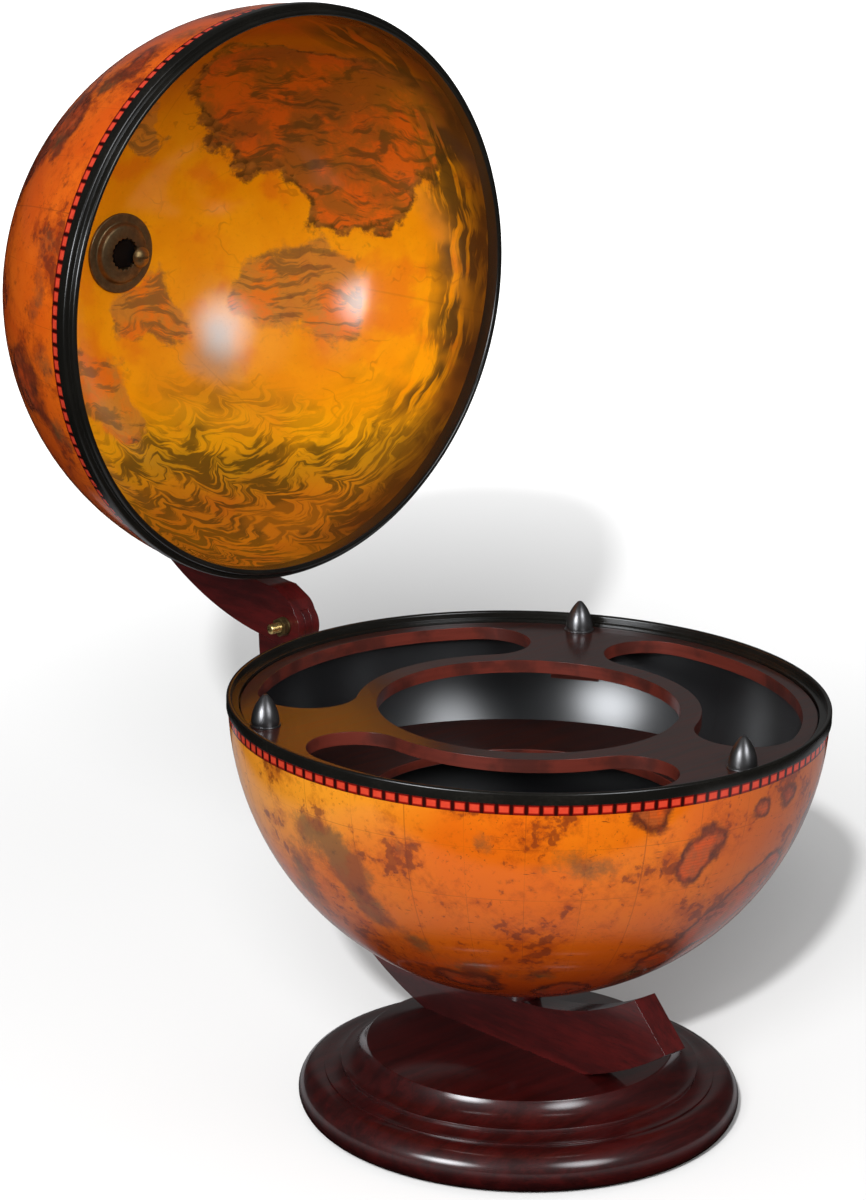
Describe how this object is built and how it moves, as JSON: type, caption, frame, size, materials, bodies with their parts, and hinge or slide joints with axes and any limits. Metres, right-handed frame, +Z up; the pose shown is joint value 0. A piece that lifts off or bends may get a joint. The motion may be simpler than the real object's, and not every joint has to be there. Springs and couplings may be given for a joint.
{
  "type": "globe bar",
  "caption": "Tabletop globe bar: a half-globe bowl on a turned base and curved arm, with a hinged half-globe lid, a slotted tray, a shelf ring and guide pegs.",
  "frame": {"origin": "on the table, under the middle of the bowl: the middle of the felt's underside", "axes": "+Z up, +Y towards the hinge side, X along the hinge bolt; the lid is drawn open, on its stop"},
  "size_m": [0.3316, 0.5734, 0.6013],
  "materials": {
    "mahogany": "dark mahogany stain under high-gloss lacquer",
    "tray_wood": "red-brown stain, satin lacquer, lighter cut edges",
    "map_print": "antique map print under satin varnish",
    "lid_print": "amber print under gloss varnish",
    "black_lacquer": "glossy black",
    "black_trim": "semi-gloss black",
    "felt": "matt felt",
    "aged_bronze": "antiqued, satin",
    "bright_brass": "polished",
    "gunmetal": "dark pewter, satin",
    "zinc_steel": "zinc plated"
  },
  "bodies": {
    "stand": {"base_plinth": "mahogany", "base_felt": "felt", "base_screws": "zinc_steel", "lower_arm": "mahogany", "bowl_shell": "map_print", "bowl_lining": "black_lacquer", "bowl_trim": "black_trim", "bowl_spacer": "mahogany", "bowl_flange": "aged_bronze", "bowl_bolt": "aged_bronze", "bowl_insert": "bright_brass", "bowl_lock_screw": "aged_bronze", "bottle_shelf": "tray_wood", "tray": "tray_wood", "tray_blocks": "tray_wood", "guide_pegs": "gunmetal", "hinge_bolt": "bright_brass", "hinge_nut": "bright_brass", "hinge_washers": "bright_brass"},
    "lid": {"upper_arm": "mahogany", "lid_shell": "map_print", "lid_lining": "lid_print", "lid_trim": "black_trim", "lid_spacer": "mahogany", "lid_flange": "aged_bronze", "lid_bolt": "aged_bronze", "lid_lock_screw": "aged_bronze", "lid_washer": "bright_brass", "lid_cap_nut": "bright_brass"}
  },
  "joints": [
    {"name": "lid_hinge", "type": "hinge", "parent": "stand", "child": "lid", "pos_m": [0, 0.194, 0.2415], "axis": [1, 0, 0], "range_deg": [0, 90]}
  ]
}
